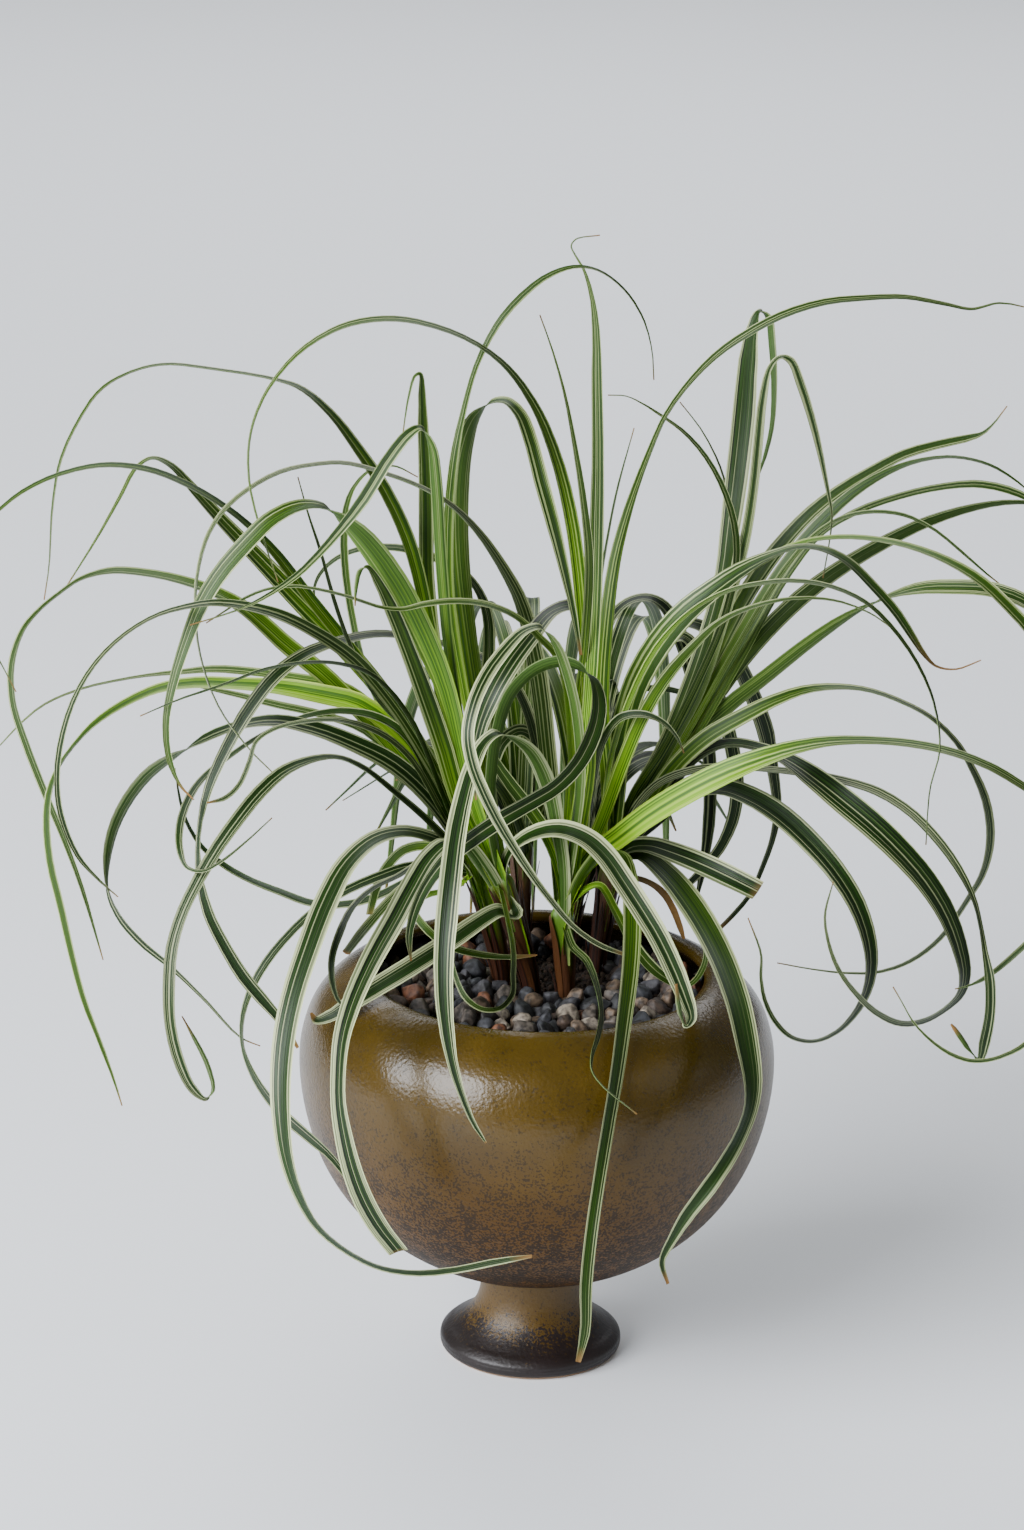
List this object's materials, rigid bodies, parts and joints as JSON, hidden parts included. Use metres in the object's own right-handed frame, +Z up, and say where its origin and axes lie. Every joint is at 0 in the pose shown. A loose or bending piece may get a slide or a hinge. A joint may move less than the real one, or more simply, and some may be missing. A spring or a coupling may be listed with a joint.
{
  "type": "potted sedge",
  "caption": "Variegated sedge with long arching leaves in a round glazed pot on a turned foot, with gravel over the soil.",
  "frame": {"origin": "centre of the foot's underside, on the pot's turning axis", "axes": "+Z up along the pot's turning axis, -Y towards the front that the picture shows, +X to its right"},
  "size_m": [0.3961, 0.3328, 0.3941],
  "materials": {
    "glaze": "satin mustard-brown glaze with dark speckle",
    "soil": "dark moist potting soil",
    "gravel": "matte grey and tan gravel",
    "leaf": "satin green leaf with pale margins"
  },
  "bodies": {
    "root": {"pot": "glaze", "soil": "soil", "gravel": "gravel", "shoot_left": "leaf", "shoot_inner": "leaf", "shoot_front": "leaf", "shoot_right": "leaf", "shoot_back": "leaf", "shoot_rear_left": "leaf"}
  },
  "joints": []
}
